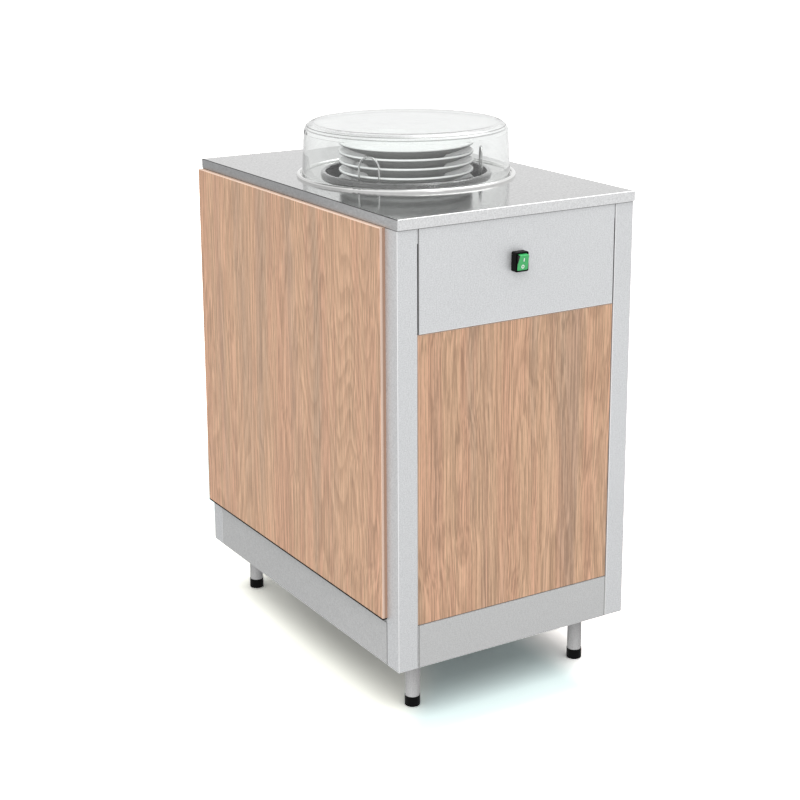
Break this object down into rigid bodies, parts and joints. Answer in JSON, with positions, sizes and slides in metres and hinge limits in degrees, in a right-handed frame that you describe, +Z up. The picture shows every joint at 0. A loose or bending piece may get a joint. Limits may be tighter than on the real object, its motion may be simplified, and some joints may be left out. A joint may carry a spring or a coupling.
{
  "type": "plate dispenser",
  "caption": "Free-standing heated plate dispenser: spring-loaded plate stack in a round well under a clear cover, in a steel counter cabinet with wood panels.",
  "frame": {"origin": "on the floor, under the middle of the box round the whole object", "axes": "+Z up, -Y towards the side with the switch, +X to the right as seen from the switch side"},
  "size_m": [0.4814, 0.7146, 0.944],
  "materials": {
    "steel_sheet": "satin",
    "polished_steel": "polished",
    "spring_steel": "satin",
    "oak_laminate": "satin oak laminate",
    "core_board": "raw board",
    "mineral_wool": "matte",
    "china": "glazed",
    "clear_plastic": "clear",
    "black_plastic": "satin",
    "green_plastic": "gloss",
    "grey_plastic": "satin",
    "white_plastic": "satin",
    "brass": "satin"
  },
  "bodies": {
    "cabinet": {"worktop": "steel_sheet", "front_apron": "steel_sheet", "rear_panel": "steel_sheet", "base_tray": "steel_sheet", "foot_plates": "steel_sheet", "foot_sleeves": "steel_sheet", "well_shell": "steel_sheet", "well_jacket": "steel_sheet", "well_floor": "steel_sheet", "guide_top_ring": "steel_sheet", "guide_low_ring": "steel_sheet", "spring_pins": "steel_sheet", "front_rail": "steel_sheet", "rear_rail": "steel_sheet", "left_rail": "steel_sheet", "right_rail": "steel_sheet", "front_top_rail": "steel_sheet", "rear_top_rail": "steel_sheet", "left_top_rail": "steel_sheet", "right_top_rail": "steel_sheet", "mid_rail": "steel_sheet", "post_front_left": "steel_sheet", "post_front_right": "steel_sheet", "post_rear_left": "steel_sheet", "post_rear_right": "steel_sheet", "rear_panel_screws": "steel_sheet", "heater_element": "steel_sheet", "thermostat": "steel_sheet", "well_flange": "polished_steel", "plate_guide_1": "polished_steel", "plate_guide_2": "polished_steel", "plate_guide_3": "polished_steel", "spring_1": "spring_steel", "spring_2": "spring_steel", "spring_3": "spring_steel", "front_panel": "oak_laminate", "left_panel": "oak_laminate", "right_panel": "oak_laminate", "worktop_core": "core_board", "well_insulation": "mineral_wool", "switch_housing": "black_plastic", "foot_bushes": "black_plastic", "cable_gland": "black_plastic", "terminal_box": "grey_plastic", "switch_blades": "brass"},
    "cover": {"cover": "clear_plastic"},
    "carrier": {"carrier_disc": "steel_sheet", "carrier_cage": "steel_sheet", "carrier_shoes": "white_plastic", "plate_1": "china", "plate_2": "china", "plate_3": "china", "plate_4": "china", "plate_5": "china", "plate_6": "china"},
    "rocker": {"switch_rocker": "green_plastic"},
    "foot_front_left": {"foot_front_left": "black_plastic"},
    "foot_front_right": {"foot_front_right": "black_plastic"},
    "foot_rear_left": {"foot_rear_left": "black_plastic"},
    "foot_rear_right": {"foot_rear_right": "black_plastic"}
  },
  "joints": [
    {"name": "cover_lift", "type": "slide", "parent": "cabinet", "child": "cover", "axis": [0, 0, 1], "range_m": [0, 0.2]},
    {"name": "carrier_lift", "type": "slide", "parent": "cabinet", "child": "carrier", "axis": [0, 0, 1], "range_m": [-0.31, 0.02], "stiffness_N_per_m": 450, "springref_m": 0.1615, "deforming": ["spring_1", "spring_2", "spring_3"]},
    {"name": "rocker_tilt", "type": "hinge", "parent": "cabinet", "child": "rocker", "pos_m": [-0.004, -0.34895, 0.759], "axis": [1, 0, 0], "range_deg": [-18, 0]},
    {"name": "foot_front_left_screw", "type": "slide", "parent": "cabinet", "child": "foot_front_left", "axis": [0, 0, 1], "range_m": [-0.025, 0]},
    {"name": "foot_front_right_screw", "type": "slide", "parent": "cabinet", "child": "foot_front_right", "axis": [0, 0, 1], "range_m": [-0.025, 0]},
    {"name": "foot_rear_left_screw", "type": "slide", "parent": "cabinet", "child": "foot_rear_left", "axis": [0, 0, 1], "range_m": [-0.025, 0]},
    {"name": "foot_rear_right_screw", "type": "slide", "parent": "cabinet", "child": "foot_rear_right", "axis": [0, 0, 1], "range_m": [-0.025, 0]}
  ]
}
